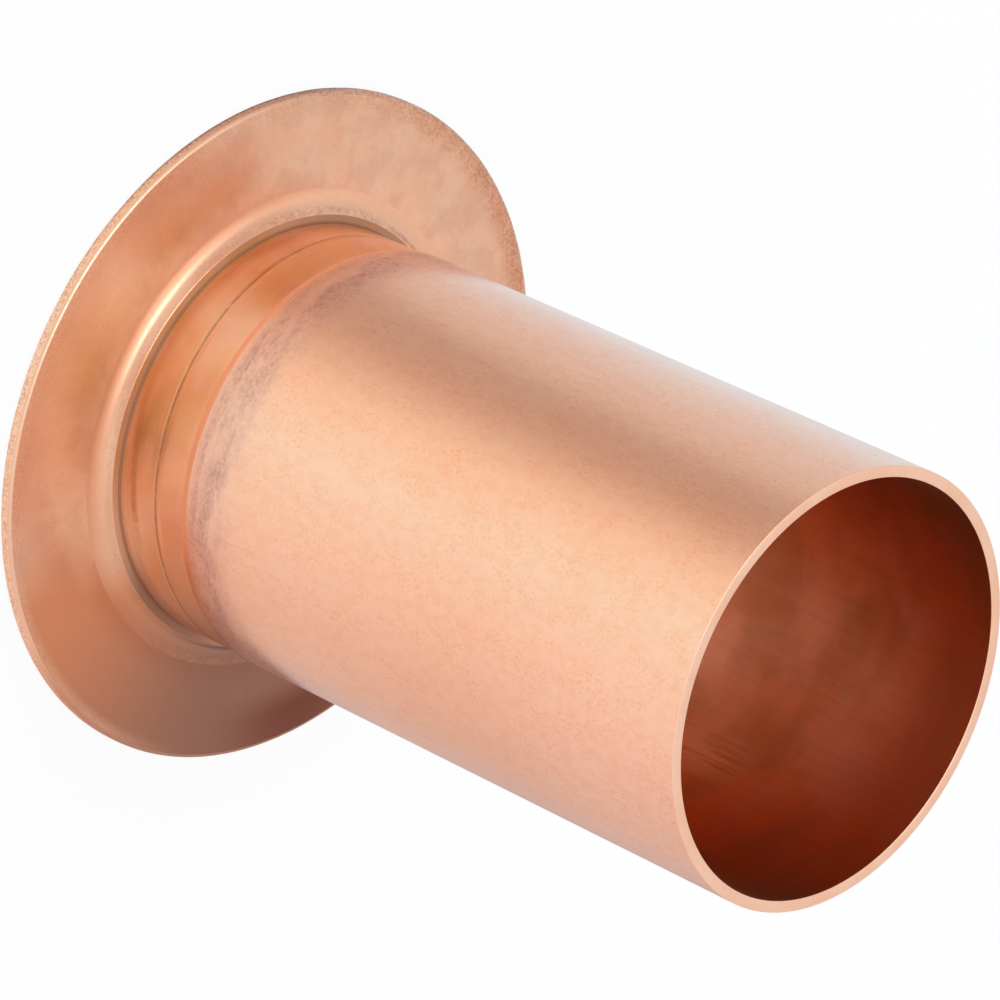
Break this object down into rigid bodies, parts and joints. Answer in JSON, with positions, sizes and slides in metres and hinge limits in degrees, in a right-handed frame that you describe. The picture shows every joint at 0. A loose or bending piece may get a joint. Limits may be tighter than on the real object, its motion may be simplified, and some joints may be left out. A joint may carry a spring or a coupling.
{
  "type": "flange collar",
  "caption": "Copper tube spigot whose end is flared into a flat round collar with a turned neck, held in a pipe joint by a loose backing flange.",
  "frame": {"origin": "centre of the collar's back face, on the tube's axis", "axes": "+Z along the tube's axis, from the collar's back face to the open end of the tube"},
  "size_m": [0.121, 0.121, 0.1355],
  "materials": {
    "copper": "satin bare copper, brighter where the neck is turned, with brown tarnish on the collar"
  },
  "bodies": {
    "root": {"collar": "copper"}
  },
  "joints": []
}
